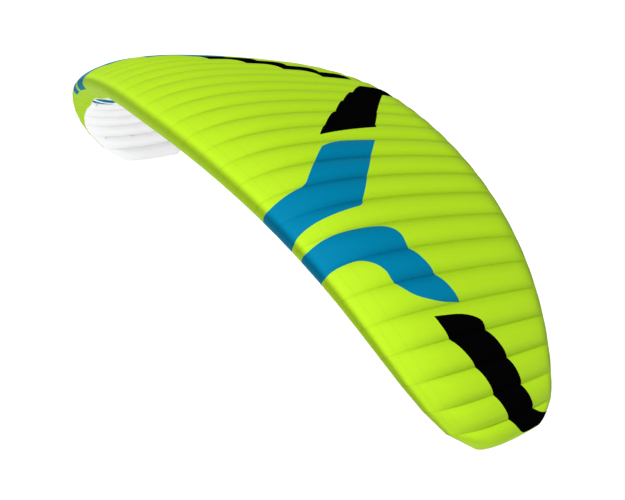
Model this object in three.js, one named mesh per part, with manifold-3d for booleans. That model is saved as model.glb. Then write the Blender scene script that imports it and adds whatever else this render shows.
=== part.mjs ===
// A ram-air foil kite, inflated, without its lines.
//
// Units are millimetres, +Z is up. The leading edge faces -Y and the trailing edge +Y. The span
// runs along X, with the left wing tip at +X. The origin is on the middle rib's chord line, at
// 30 % of the chord, where the bridle's pull passes.
//
// Ribs are numbered from 0 at the left tip to 34 at the right tip, and cell n lies between rib n
// and rib n + 1. A place on the cloth is given by a rib number (which may be a fraction), the
// share v of the chord behind the leading edge, and the upper or lower side.

import * as THREE from "three";
import * as BufferGeometryUtils from "three/addons/utils/BufferGeometryUtils.js";
import Module from "manifold-3d";

const wasm = await Module();
wasm.setup();

// ---------------------------------------------------------------------------------------------
// Driving dimensions
// ---------------------------------------------------------------------------------------------

const CENTRE_CHORD = 2200;
const HALF_SPAN = 3490; // along the cloth, from the middle rib to a tip
const CELLS = 34;
const MIDDLE_RIB = CELLS / 2;

// Front view: the slope of the arc, in radians, grows from 0 at the middle rib to ARC_TIP.
const ARC_INNER = 0.613;
const ARC_TIP = 1.6;
const ARC_POWER = 3.82;

// Plan form: a full middle, a short tip, and a line at 30 % chord that sweeps back.
const TIP_SHARE = 0.2735;
const TAPER_INNER = 1.49;
const TAPER_OUTER = 0.594;
const SWEEP = [0.186, -0.066, 0.186]; // shares of the centre chord, for s^2, s^4 and s^8
const REFERENCE_SHARE = 0.3;
const TWIST = 0.022;

// Ribs stand a little closer together towards the tips.
const RIB_SHIFT = 0.045;
const RIB_SHIFT_TIP = 0.056;

// Profile
const RIB_THICKNESS = 0.165;
const EDGE_HALF = 2.6; // half the height of the trailing edge
const PUFF_UPPER = 0.11; // rise of the cloth between two ribs, as a share of their distance
const PUFF_LOWER = 0.07;
const PUFF_FADE = 0.12; // the rise fades in over this share of the chord

// Cloth, ribs and the gaps between sewn pieces
const CLOTH = 2;
const RIB_PLATE = 2;
const RIB_INSET = CLOTH + 2;
const END_RIB_INSET = 9; // the nose sweeps back steeply at the tips
const SEAM_GAP = 0.6;
const LOOP_SLOT = 3.5; // half the slot in the lower skin where a rib's loops come out

// Trailing edge brakes
const HINGE_AT = 0.8;
const HINGE_GAP = 1.5;
const FLAP_LOWER_FROM = 0.85;
const FLAP_SIDE_GAP = 2.5;
const BRAKE_ANGLE = 30;
const BRAKE_SHARES = [0.35, 0.7, 1, 1, 1, 1, 0.7, 0.35]; // of the brake angle, from the tip
const FIRST_BRAKE_CELL = 2;
const BRAKE_LOOP_FLAPS = [3, 5, 7];
const BRAKE_LOOP_AT = 0.955;
const BRAKE_LOOP_ROOT = 1.2;
const FLAP_LEAN = 0.7;
const FLAP_TAIL = [0.94, 0.98, 1];
const FLAP_INNER_TAIL = [0.94, 0.965, 0.98]; // the inner faces meet short of the edge

// Nose
const NOSE_WRAP = 0.1; // how far the upper cloth wraps under the nose
const NOSE_WRAP_FROM = 2; // rib number where the wrap starts
const NOSE_WRAP_RATE = 0.026; // growth of the wrap per rib
const NOSE_WRAP_LEAST = 0.012;
const NOSE_BEND = 0.4;
const INTAKE_FRONT = 0.02;
const INTAKE_BACK = 0.07;
const MESH_THICK = 1.4;

// Line loops
const LOOP_ROWS = [0.13, 0.38, 0.64];
const LOOP_WIDTH = 12;
const LOOP_TAB = 1.5; // half the doubled webbing
const LOOP_NECK = 9; // from the cloth to the top of the ring
const LOOP_OUTER = 8.5;
const LOOP_INNER = 5.4;
const LOOP_ROOT = 14; // how far the webbing runs up the rib
const LOOP_SIDES = 6;
const LOOP_HOLE_SIDES = 6;

// Spanwise tension straps through the ribs
const STRAP_AT = [0.15, 0.42];
const STRAP_WIDTH = 50;
const STRAP_HEIGHT = 2;
const STRAP_LEVEL = -0.45; // share of the local half height, below the chord line
const STRAP_END = 0.03; // share of a cell left free next to a rib that carries loops
const RIB_CHIN = 0.045; // below the nose, where the rib stands further in from the cloth
const RIB_CHIN_INSET = 11;
const RIB_TAIL = 0.96;
const END_RIB_TAIL = 0.85;
const RIB_TAIL_BRAKED = 0.79;

// Tip closure
const TIP_INSET = 2;
const HATCH_FROM = 0.36;
const HATCH_TO = 0.55;
const HATCH_HALF_HEIGHT = 16;
const HATCH_LAP = 9; // how far the cover laps over the hole's rim
const HATCH_COVER = 1.6;
const HATCH_GAP = 1;

// ---------------------------------------------------------------------------------------------
// Materials
// ---------------------------------------------------------------------------------------------

function cloth(colour, roughness = 0.6) {
  return new THREE.MeshStandardMaterial({ color: colour, roughness, metalness: 0 });
}

const limeCloth = cloth(0xb9e52b);
const whiteCloth = cloth(0xf1f2f3);
const ribCloth = cloth(0xe9eaec, 0.7);
const gauze = cloth(0x3a3d40, 0.9);

// ---------------------------------------------------------------------------------------------
// The wing's surface
// ---------------------------------------------------------------------------------------------

const ARC_STEPS = 400;
const arcTable = buildArc();

function slopeAt(s) {
  return ARC_INNER * s + (ARC_TIP - ARC_INNER) * s ** ARC_POWER;
}

function buildArc() {
  const table = [[0, 0]];
  const step = HALF_SPAN / ARC_STEPS;
  for (let i = 0; i < ARC_STEPS; i += 1) {
    const slope = slopeAt((i + 0.5) / ARC_STEPS);
    const [x, z] = table[i];
    table.push([x + step * Math.cos(slope), z - step * Math.sin(slope)]);
  }
  return table;
}

function arcAt(s) {
  const place = Math.min(s, 1) * ARC_STEPS;
  const i = Math.min(Math.floor(place), ARC_STEPS - 1);
  const [x0, z0] = arcTable[i];
  const [x1, z1] = arcTable[i + 1];
  return [x0 + (x1 - x0) * (place - i), z0 + (z1 - z0) * (place - i)];
}

// The plane of a rib: its reference point, chord length, twist, and the directions that point
// out of the cloth (up) and along the span towards the left tip (span).
function ribPlane(rib) {
  const t = (MIDDLE_RIB - rib) / MIDDLE_RIB;
  const hand = t < 0 ? -1 : 1;
  const a = Math.min(Math.abs(t), 1);
  const s = a + a * (1 - a) * (RIB_SHIFT + RIB_SHIFT_TIP * (2 * a - 1));
  const slope = slopeAt(s);
  const [x, z] = arcAt(s);
  const share = TIP_SHARE + (1 - TIP_SHARE) * Math.max(1 - s ** TAPER_INNER, 0) ** TAPER_OUTER;
  const sweep = SWEEP[0] * s ** 2 + SWEEP[1] * s ** 4 + SWEEP[2] * s ** 8;
  return {
    chord: CENTRE_CHORD * share,
    twist: TWIST * s ** 2,
    origin: new THREE.Vector3(hand * x, CENTRE_CHORD * sweep, z),
    up: new THREE.Vector3(hand * Math.sin(slope), 0, Math.cos(slope)),
    span: new THREE.Vector3(Math.cos(slope), 0, -hand * Math.sin(slope)),
  };
}

// Half height of the profile and its slope, both as shares of the chord.
function halfHeight(v) {
  const root = Math.sqrt(v);
  return 5 * RIB_THICKNESS
    * (0.2969 * root - 0.126 * v - 0.3516 * v ** 2 + 0.2843 * v ** 3 - 0.1036 * v ** 4);
}

function heightSlope(v) {
  return 5 * RIB_THICKNESS
    * (0.14845 / Math.sqrt(v) - 0.126 - 0.7032 * v + 0.8529 * v ** 2 - 0.4144 * v ** 3);
}

// A point in a rib's plane, given along the chord and across it from the reference point.
function inPlane(plane, along, across) {
  const c = Math.cos(plane.twist);
  const s = Math.sin(plane.twist);
  return new THREE.Vector3(0, along * c + across * s, 0)
    .addScaledVector(plane.up, across * c - along * s)
    .add(plane.origin);
}

// A point on a rib's outline and the outward normal there. A negative v is on the lower side.
function onRib(rib, v, inset = 0) {
  const plane = ribPlane(rib);
  const side = v < 0 ? -1 : 1;
  const share = Math.abs(v);
  const along = (share - REFERENCE_SHARE) * plane.chord;
  const across = side * (halfHeight(share) * plane.chord + EDGE_HALF * share);
  const flat = share < 1e-6
    ? new THREE.Vector2(-1, 0)
    : new THREE.Vector2(-heightSlope(share) - EDGE_HALF / plane.chord, side).normalize();
  const point = inPlane(plane, along - flat.x * inset, across - flat.y * inset);
  const normal = inPlane(plane, flat.x, flat.y).sub(plane.origin);
  return { point, normal };
}

function puff(v) {
  const share = Math.abs(v);
  const most = v < 0 ? PUFF_LOWER : PUFF_UPPER;
  return most * (1 - Math.exp(-share / PUFF_FADE)) * Math.sqrt(Math.max(1 - share ** 24, 0));
}

// A point on the cloth anywhere between ribs, set in by a depth below the outer face.
function onCloth(rib, v, inset = 0) {
  const cell = Math.min(Math.max(Math.floor(rib), 0), CELLS - 1);
  const u = rib - cell;
  const a = onRib(cell, v);
  const b = onRib(cell + 1, v);
  const normal = a.normal.clone().lerp(b.normal, u).normalize();
  const rise = puff(v) * a.point.distanceTo(b.point) * 4 * u * (1 - u);
  return a.point.lerp(b.point, u).addScaledVector(normal, rise - inset);
}

function cellWidth(cell, v) {
  return onRib(cell, v).point.distanceTo(onRib(cell + 1, v).point);
}

// ---------------------------------------------------------------------------------------------
// Mesh helpers
// ---------------------------------------------------------------------------------------------

function signedVolume(points, triangles) {
  let sum = 0;
  for (const [a, b, c] of triangles) {
    sum += points[a].dot(points[b].clone().cross(points[c]));
  }
  return sum;
}

function closedGeometry(points, triangles) {
  const outward = signedVolume(points, triangles) > 0;
  const faces = outward ? triangles : triangles.map(([a, b, c]) => [a, c, b]);
  const geometry = new THREE.BufferGeometry();
  const flat = points.flatMap((p) => [p.x, p.y, p.z]);
  geometry.setAttribute("position", new THREE.Float32BufferAttribute(flat, 3));
  geometry.setIndex(faces.flat());
  return geometry;
}

// A closed skin between two grids of points of the same size: rows run along the span.
function skinBetween(outer, inner) {
  const rows = outer.length;
  const columns = outer[0].length;
  const points = [...outer.flat(), ...inner.flat()];
  const top = (i, j) => i * columns + j;
  const under = (i, j) => rows * columns + i * columns + j;
  const triangles = [];
  const quad = (a, b, c, d) => triangles.push([a, b, c], [a, c, d]);
  for (let i = 0; i < rows - 1; i += 1) {
    for (let j = 0; j < columns - 1; j += 1) {
      quad(top(i, j), top(i + 1, j), top(i + 1, j + 1), top(i, j + 1));
      quad(under(i, j), under(i, j + 1), under(i + 1, j + 1), under(i + 1, j));
    }
    quad(top(i + 1, 0), top(i, 0), under(i, 0), under(i + 1, 0));
    const last = columns - 1;
    quad(top(i, last), top(i + 1, last), under(i + 1, last), under(i, last));
  }
  for (let j = 0; j < columns - 1; j += 1) {
    quad(top(0, j), top(0, j + 1), under(0, j + 1), under(0, j));
    const last = rows - 1;
    quad(top(last, j + 1), top(last, j), under(last, j), under(last, j + 1));
  }
  return closedGeometry(points, triangles);
}

// A flat plate with holes, drawn in the plane of x and y from an origin and centred on it.
function plate(origin, x, y, outline, holes, thickness) {
  const shape = new THREE.Shape(outline);
  shape.holes = holes.map((hole) => new THREE.Path(hole));
  const geometry = new THREE.ExtrudeGeometry(shape, { depth: thickness, bevelEnabled: false });
  geometry.translate(0, 0, -thickness / 2);
  const z = new THREE.Vector3().crossVectors(x, y);
  geometry.applyMatrix4(new THREE.Matrix4().makeBasis(x, y, z).setPosition(origin));
  geometry.deleteAttribute("normal");
  geometry.deleteAttribute("uv");
  return BufferGeometryUtils.mergeVertices(geometry, 1e-4);
}

function solid(geometry) {
  const bare = new THREE.BufferGeometry();
  bare.setAttribute("position", geometry.getAttribute("position"));
  bare.setIndex(geometry.getIndex());
  const merged = BufferGeometryUtils.mergeVertices(bare, 1e-4);
  return new wasm.Manifold(new wasm.Mesh({
    numProp: 3,
    vertProperties: new Float32Array(merged.getAttribute("position").array),
    triVerts: new Uint32Array(merged.getIndex().array),
  }));
}

function joined(geometries) {
  const whole = geometries.map(solid).reduce((sum, next) => sum.add(next));
  const mesh = whole.getMesh();
  const geometry = new THREE.BufferGeometry();
  geometry.setAttribute("position", new THREE.BufferAttribute(mesh.vertProperties, 3));
  geometry.setIndex(new THREE.BufferAttribute(mesh.triVerts, 1));
  return geometry;
}

const kite = new THREE.Group();
kite.name = "foil_kite";

function addPiece(name, geometry, material) {
  const mesh = new THREE.Mesh(geometry, material);
  mesh.name = name;
  kite.add(mesh);
  return mesh;
}

// ---------------------------------------------------------------------------------------------
// Skins
// ---------------------------------------------------------------------------------------------

// Sections of the canopy between the ribs that carry loops.
const LOAD_RIBS = [2, 6, 10, 14, 20, 24, 28, 32];
const SECTIONS = [
  { name: "left_tip", from: 0, to: 2, braked: false, intake: false },
  { name: "left_outer", from: 2, to: 6, braked: true, intake: false },
  { name: "left_mid", from: 6, to: 10, braked: true, intake: false },
  { name: "left_inner", from: 10, to: 14, braked: false, intake: true },
  { name: "centre", from: 14, to: 20, braked: false, intake: true },
  { name: "right_inner", from: 20, to: 24, braked: false, intake: true },
  { name: "right_mid", from: 24, to: 28, braked: true, intake: false },
  { name: "right_outer", from: 28, to: 32, braked: true, intake: false },
  { name: "right_tip", from: 32, to: 34, braked: false, intake: false },
];

const NOSE_STATION = 0.008;
const UPPER_STATIONS = [NOSE_STATION, 0.035, 0.12, 0.3, 0.54];
const LOWER_STATIONS = LOOP_ROWS;
const TAIL_STATIONS = [0.94, 1];

function noseWrap(rib) {
  const fromTip = Math.min(rib, CELLS - rib);
  const wrap = NOSE_WRAP_RATE * (fromTip - NOSE_WRAP_FROM);
  return Math.min(Math.max(wrap, NOSE_WRAP_LEAST), NOSE_WRAP);
}

// Rib numbers where the cloth has a row of points: each rib and each cell's middle, with the
// first and last row set in from the section's end ribs by a gap.
function clothRows(from, to, gap) {
  const rows = [];
  for (let rib = from; rib <= to; rib += 0.5) {
    rows.push(rib);
  }
  rows[0] = from + gap / cellWidth(from, HINGE_AT);
  rows[rows.length - 1] = to - gap / cellWidth(to - 1, HINGE_AT);
  return rows;
}

function skin(rows, stationsAt, thickness) {
  const grid = (inset) => rows.map((rib) => stationsAt(rib).map((v) => onCloth(rib, v, inset)));
  return skinBetween(grid(0), grid(thickness));
}

function shareOf(length, rib) {
  return length / ribPlane(rib).chord;
}

function upperSkin(section) {
  const stationsAt = (rib) => {
    const wrap = section.intake ? INTAKE_FRONT : noseWrap(rib);
    const edge = wrap - shareOf(SEAM_GAP, rib);
    const hinge = HINGE_AT - shareOf(HINGE_GAP, rib);
    const tail = section.braked ? [hinge] : [HINGE_AT, ...TAIL_STATIONS];
    const bend = NOSE_STATION + (edge - NOSE_STATION) * NOSE_BEND;
    return [-edge, -bend, -NOSE_STATION, 0, ...UPPER_STATIONS, ...tail];
  };
  const rows = clothRows(section.from, section.to, SEAM_GAP / 2);
  return skin(rows, stationsAt, CLOTH);
}

function lowerSkin(section) {
  const stationsAt = (rib) => {
    const front = section.intake ? INTAKE_BACK : noseWrap(rib);
    const hinge = HINGE_AT - shareOf(HINGE_GAP, rib);
    const tail = section.braked ? [hinge] : [HINGE_AT, ...TAIL_STATIONS];
    const edge = front + shareOf(SEAM_GAP, rib);
    return [edge, ...LOWER_STATIONS, ...tail].map((v) => -v);
  };
  const rows = clothRows(section.from, section.to, LOOP_SLOT);
  return skin(rows, stationsAt, CLOTH);
}

for (const section of SECTIONS) {
  addPiece(`upper_skin_${section.name}`, upperSkin(section), limeCloth);
  addPiece(`lower_skin_${section.name}`, lowerSkin(section), whiteCloth);
}

// ---------------------------------------------------------------------------------------------
// Air intake gauze
// ---------------------------------------------------------------------------------------------

function intakeMesh(from, to) {
  const stationsAt = (rib) => {
    const gap = shareOf(SEAM_GAP, rib);
    return [-(INTAKE_FRONT + gap), -(INTAKE_BACK - gap)];
  };
  return skin(clothRows(from, to, SEAM_GAP), stationsAt, MESH_THICK);
}

addPiece("intake_gauze_left", intakeMesh(10, MIDDLE_RIB), gauze);
addPiece("intake_gauze_right", intakeMesh(MIDDLE_RIB, 24), gauze);

// ---------------------------------------------------------------------------------------------
// Line loops: doubled webbing that ends in a ring, drawn in the plane of span and down
// ---------------------------------------------------------------------------------------------

function ringPoints(radius, sides, centre) {
  const points = [];
  for (let i = 0; i < sides; i += 1) {
    const angle = ((i + 0.5) / sides) * 2 * Math.PI - Math.PI / 2;
    points.push(new THREE.Vector2(radius * Math.cos(angle), centre + radius * Math.sin(angle)));
  }
  return points;
}

function lineLoop(base, span, down, root) {
  const centre = LOOP_NECK + LOOP_OUTER;
  const ring = ringPoints(LOOP_OUTER, LOOP_SIDES, centre);
  const outline = [
    new THREE.Vector2(LOOP_TAB, -root),
    new THREE.Vector2(LOOP_TAB, LOOP_NECK),
    ...ring.slice(1, LOOP_SIDES - 1),
    new THREE.Vector2(-LOOP_TAB, LOOP_NECK),
    new THREE.Vector2(-LOOP_TAB, -root),
  ];
  const hole = ringPoints(LOOP_INNER, LOOP_HOLE_SIDES, centre);
  return plate(base, span, down, outline, [hole], LOOP_WIDTH);
}

// Where the ring's hole is, and where a line's knot bears on it.
function ringAt(base, down) {
  const centre = base.clone().addScaledVector(down, LOOP_NECK + LOOP_OUTER);
  const reach = LOOP_INNER * Math.cos(Math.PI / LOOP_HOLE_SIDES);
  return { centre, bearing: centre.clone().addScaledVector(down, reach), facing: down.clone().negate() };
}

// ---------------------------------------------------------------------------------------------
// Ribs
// ---------------------------------------------------------------------------------------------

// Directions along and across the chord in a rib's plane.
function ribAxes(plane) {
  const along = inPlane(plane, 1, 0).sub(plane.origin);
  const across = inPlane(plane, 0, 1).sub(plane.origin);
  return [along, across];
}

// A rib's outline inside the cloth, in its own plane, from the nose round to the tail and back.
function ribOutline(rib, tail, edgeInset) {
  const plane = ribPlane(rib);
  const [along, across] = ribAxes(plane);
  const ahead = (v) => v < tail - 0.015;
  const upper = [...UPPER_STATIONS, HINGE_AT, TAIL_STATIONS[0]].filter(ahead);
  const lower = [NOSE_STATION, RIB_CHIN, ...LOWER_STATIONS, HINGE_AT, TAIL_STATIONS[0]]
    .filter(ahead)
    .reverse()
    .map((v) => -v);
  return [0, ...upper, tail, -tail, ...lower].map((v) => {
    const inset = v === -RIB_CHIN ? RIB_CHIN_INSET : edgeInset;
    const offset = onRib(rib, v, inset).point.sub(plane.origin);
    return new THREE.Vector2(offset.dot(along), offset.dot(across));
  });
}

function isBraked(rib) {
  const fromTip = Math.min(rib, CELLS - rib);
  return fromTip > FIRST_BRAKE_CELL && fromTip < FIRST_BRAKE_CELL + BRAKE_SHARES.length;
}

function ribBody(rib) {
  const plane = ribPlane(rib);
  const tail = isBraked(rib) ? RIB_TAIL_BRAKED : RIB_TAIL;
  return plate(plane.origin, ...ribAxes(plane), ribOutline(rib, tail, RIB_INSET), [], RIB_PLATE);
}

function endRibBody(rib, outward) {
  const plane = ribPlane(rib);
  const origin = plane.origin.clone().addScaledVector(plane.span, -outward * TIP_INSET);
  const outline = ribOutline(rib, END_RIB_TAIL, END_RIB_INSET);
  return plate(origin, ...ribAxes(plane), outline, [hatchOutline(rib, 0)], RIB_PLATE);
}

function lineLoopsOn(rib) {
  const plane = ribPlane(rib);
  const down = plane.up.clone().negate();
  return LOOP_ROWS.map((v) => {
    const base = onRib(rib, -v).point;
    return { geometry: lineLoop(base, plane.span, down, LOOP_ROOT), ring: ringAt(base, down) };
  });
}

// A strap between two rib numbers, along a constant share of the chord.
function strap(from, to, v) {
  const ends = [from, to].map((rib) => {
    const plane = ribPlane(rib);
    const along = (v - REFERENCE_SHARE) * plane.chord;
    const across = STRAP_LEVEL * halfHeight(v) * plane.chord;
    const corner = (dx, dy) => inPlane(plane, along + dx * STRAP_WIDTH, across + dy * STRAP_HEIGHT);
    return [corner(-0.5, 0.5), corner(0.5, 0.5), corner(-0.5, -0.5), corner(0.5, -0.5)];
  });
  const outer = ends.map(([a, b]) => [a, b]);
  const inner = ends.map(([, , c, d]) => [c, d]);
  return skinBetween(outer, inner);
}

function ribSet(ribs, from, to) {
  const stops = [from + STRAP_END, ...ribs, to - STRAP_END];
  const pieces = ribs.map((rib) => ribBody(rib));
  for (const v of STRAP_AT) {
    for (let i = 0; i < stops.length - 1; i += 1) {
      pieces.push(strap(stops[i], stops[i + 1], v));
    }
  }
  return joined(pieces);
}

const handOf = (rib) => (rib < MIDDLE_RIB ? "left" : "right");
const LOAD_NAMES = ["outer", "mid", "inner", "root"];

LOAD_RIBS.forEach((rib, i) => {
  const fromTip = Math.min(i, LOAD_RIBS.length - 1 - i);
  const loops = lineLoopsOn(rib);
  const body = joined([ribBody(rib), ...loops.map((loop) => loop.geometry)]);
  const piece = addPiece(`load_rib_${handOf(rib)}_${LOAD_NAMES[fromTip]}`, body, ribCloth);
  piece.userData.rings = loops.map((loop) => loop.ring);
});

for (const section of SECTIONS.slice(1, -1)) {
  const ribs = [];
  for (let rib = section.from + 1; rib < section.to; rib += 1) {
    ribs.push(rib);
  }
  addPiece(`rib_set_${section.name}`, ribSet(ribs, section.from, section.to), ribCloth);
}

// ---------------------------------------------------------------------------------------------
// Tip closures: the end rib with a hole to shake sand out, the rib next to it, and the cover
// ---------------------------------------------------------------------------------------------

function hatchOutline(rib, margin) {
  const { chord } = ribPlane(rib);
  const front = (HATCH_FROM - REFERENCE_SHARE) * chord - margin;
  const back = (HATCH_TO - REFERENCE_SHARE) * chord + margin;
  const half = HATCH_HALF_HEIGHT + margin;
  return [[front, -half], [back, -half], [back, half], [front, half]]
    .map(([x, y]) => new THREE.Vector2(x, y));
}

for (const [end, next, outward] of [[0, 1, 1], [CELLS, CELLS - 1, -1]]) {
  const hand = handOf(end);
  const plane = ribPlane(end);
  const [along, across] = ribAxes(plane);
  const endRib = endRibBody(end, outward);
  const endCell = Math.min(end, next);
  const buried = outward * TIP_INSET / cellWidth(endCell, REFERENCE_SHARE);
  const straps = STRAP_AT.map((v) => strap(next, end + buried, v));
  const load = end + outward * FIRST_BRAKE_CELL;
  straps.push(...STRAP_AT.map((v) => strap(next, load - outward * STRAP_END, v)));
  addPiece(`tip_frame_${hand}`, joined([endRib, ribBody(next), ...straps]), ribCloth);

  const coverAt = RIB_PLATE / 2 - TIP_INSET + HATCH_GAP + HATCH_COVER / 2;
  const origin = plane.origin.clone().addScaledVector(plane.span, outward * coverAt);
  const outline = hatchOutline(end, HATCH_LAP);
  const cover = plate(origin, along, across, outline, [], HATCH_COVER);
  const hingeAt = inPlane(plane, outline[0].x, 0).addScaledVector(plane.span, outward * coverAt);
  const piece = addPiece(`sand_hatch_${hand}`, cover, whiteCloth);
  const holeAt = ((HATCH_FROM + HATCH_TO) / 2 - REFERENCE_SHARE) * plane.chord;
  piece.userData.hole = inPlane(plane, holeAt, 0);
  piece.userData.hinge = { point: hingeAt, axis: across.clone().multiplyScalar(-outward) };
}

// ---------------------------------------------------------------------------------------------
// Brake flaps: the trailing edge of each braked cell, hinged on the upper cloth
// ---------------------------------------------------------------------------------------------

// A flap's side edges lean inwards towards the trailing edge, because neighbouring hinge lines
// aren't parallel and the flaps close up on each other as they turn down.
function flapRows(cell, v, angle) {
  const bend = ribPlane(cell).span.angleTo(ribPlane(cell + 1).span);
  const reach = Math.max(Math.abs(v) - HINGE_AT, 0) * ribPlane(cell + 0.5).chord;
  const lean = FLAP_LEAN * bend * Math.sin(angle) * reach;
  const gap = (FLAP_SIDE_GAP + lean) / cellWidth(cell, v);
  return [cell + gap, cell + 0.5, cell + 1 - gap];
}

function brakeFlap(cell, share) {
  const angle = THREE.MathUtils.degToRad(BRAKE_ANGLE * share);
  const front = HINGE_AT + shareOf(HINGE_GAP, cell + 0.5);
  const path = (tail) => [front, ...tail, ...tail.map((v) => -v).reverse(), -FLAP_LOWER_FROM];
  const grid = (tail, inset) => [0, 1, 2].map(
    (row) => path(tail).map((v) => onCloth(flapRows(cell, v, angle)[row], v, inset)),
  );
  return skinBetween(grid(FLAP_TAIL, 0), grid(FLAP_INNER_TAIL, CLOTH));
}

function addBrakeFlap(hand, cell, number, share) {
  const plane = ribPlane(cell + 0.5);
  const down = plane.up.clone().negate();
  const base = onCloth(cell + 0.5, -BRAKE_LOOP_AT);
  const hasLoop = BRAKE_LOOP_FLAPS.includes(number);
  const parts = [brakeFlap(cell, share)];
  if (hasLoop) {
    parts.push(lineLoop(base, plane.span, down, BRAKE_LOOP_ROOT));
  }
  const piece = addPiece(`brake_flap_${hand}_${number}`, joined(parts), limeCloth);
  piece.userData.rings = hasLoop ? [ringAt(base, down)] : [];
  const left = onRib(cell, HINGE_AT).point;
  const right = onRib(cell + 1, HINGE_AT).point;
  piece.userData.hinge = {
    point: left.clone().lerp(right, 0.5),
    axis: right.clone().sub(left).normalize(),
    degrees: BRAKE_ANGLE * share,
  };
}

BRAKE_SHARES.forEach((share, i) => {
  const cell = FIRST_BRAKE_CELL + i;
  addBrakeFlap("left", cell, i + 1, share);
  addBrakeFlap("right", CELLS - 1 - cell, i + 1, share);
});

export default kite;
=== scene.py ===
"""A ram-air foil kite, inflated, without its lines.

Metres, +Z up, leading edge towards -Y, left wing tip at +X, origin on the middle rib's chord line
at 30 % of the chord. Ribs are numbered from 0 at the left tip to 34 at the right tip, and cell n
lies between ribs n and n + 1. A place on the cloth is a rib number, which may be a fraction, and
a chord place q: the share of the chord behind the nose is q squared, and a negative q is on the
lower side. The profile runs smoothly through q = 0.
"""
import math

import bmesh
import bpy
import numpy as np
from mathutils import Matrix, Vector
from mathutils.geometry import tessellate_polygon


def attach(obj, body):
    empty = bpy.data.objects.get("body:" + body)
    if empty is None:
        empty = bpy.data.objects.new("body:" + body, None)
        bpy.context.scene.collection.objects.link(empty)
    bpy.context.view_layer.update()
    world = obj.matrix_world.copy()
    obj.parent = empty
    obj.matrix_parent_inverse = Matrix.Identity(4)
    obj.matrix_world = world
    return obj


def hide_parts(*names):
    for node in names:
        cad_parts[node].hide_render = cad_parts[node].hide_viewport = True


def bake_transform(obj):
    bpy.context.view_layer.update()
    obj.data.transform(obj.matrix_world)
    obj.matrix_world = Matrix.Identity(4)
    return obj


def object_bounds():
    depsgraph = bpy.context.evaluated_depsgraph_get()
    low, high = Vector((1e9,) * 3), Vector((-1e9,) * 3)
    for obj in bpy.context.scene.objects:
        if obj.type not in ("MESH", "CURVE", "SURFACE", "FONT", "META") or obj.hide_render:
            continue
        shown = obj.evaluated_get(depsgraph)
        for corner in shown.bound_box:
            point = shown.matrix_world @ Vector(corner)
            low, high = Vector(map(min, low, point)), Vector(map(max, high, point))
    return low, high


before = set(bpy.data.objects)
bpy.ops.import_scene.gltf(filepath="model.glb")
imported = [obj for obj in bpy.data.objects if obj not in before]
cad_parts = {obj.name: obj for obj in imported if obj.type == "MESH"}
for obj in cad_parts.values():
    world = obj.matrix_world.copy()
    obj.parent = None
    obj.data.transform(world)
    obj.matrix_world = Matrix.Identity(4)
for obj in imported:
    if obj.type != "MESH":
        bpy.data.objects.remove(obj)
cad_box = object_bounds()

# ---- The wing, with the CAD model's dimensions
CENTRE_CHORD = 2.2
HALF_SPAN = 3.49
CELLS = 34
MIDDLE = CELLS / 2
ARC_INNER, ARC_TIP, ARC_POWER = 0.613, 1.6, 3.82
TIP_SHARE, TAPER_INNER, TAPER_OUTER = 0.2735, 1.49, 0.594
SWEEP = (0.186, -0.066, 0.186)
REFERENCE_SHARE = 0.3
TWIST = 0.022
RIB_SHIFT, RIB_SHIFT_TIP = 0.045, 0.056
RIB_THICKNESS = 0.165
EDGE_HALF = 0.0026
PUFF_UPPER, PUFF_LOWER, PUFF_TAIL = 0.145, 0.08, 24
PUFF_FADE, PUFF_FADE_POWER = 0.16, 1.6  # how the cells smooth out towards the nose
PUFF_ROUND = 2.5  # flatter between the ribs and steeper beside them than a parabola
HINGE_AT = 0.8
LOAD_RIBS = (2, 6, 10, 14, 20, 24, 28, 32)
LOOP_ROWS = (0.13, 0.38, 0.64)
BRAKE_LOOP_FLAPS = (3, 5, 7)
BRAKE_LOOP_AT = 0.955
BRAKE_SHARES = (0.35, 0.7, 1, 1, 1, 1, 0.7, 0.35)
FIRST_BRAKE_CELL = 2
INTAKE_FRONT, INTAKE_BACK = 0.02, 0.07
INTAKE_CELLS = (10, 24)
STRAP_AT, STRAP_WIDTH, STRAP_LEVEL = (0.15, 0.42), 0.05, -0.45
HATCH_FROM, HATCH_TO, HATCH_HALF_HEIGHT, HATCH_LAP = 0.36, 0.55, 0.016, 0.009
CLOTH = 0.0008
SECTIONS = (
    ("left_tip", 0, 2), ("left_outer", 2, 6), ("left_mid", 6, 10), ("left_inner", 10, 14),
    ("centre", 14, 20), ("right_inner", 20, 24), ("right_mid", 24, 28),
    ("right_outer", 28, 32), ("right_tip", 32, 34),
)

ARC_STEPS = 400
_middles = (np.arange(ARC_STEPS) + 0.5) / ARC_STEPS


def slope_at(s):
    return ARC_INNER * s + (ARC_TIP - ARC_INNER) * s ** ARC_POWER


ARC_S = np.linspace(0, 1, ARC_STEPS + 1)
ARC_X = np.concatenate([[0], np.cumsum(np.cos(slope_at(_middles)))]) * HALF_SPAN / ARC_STEPS
ARC_Z = -np.concatenate([[0], np.cumsum(np.sin(slope_at(_middles)))]) * HALF_SPAN / ARC_STEPS


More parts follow.
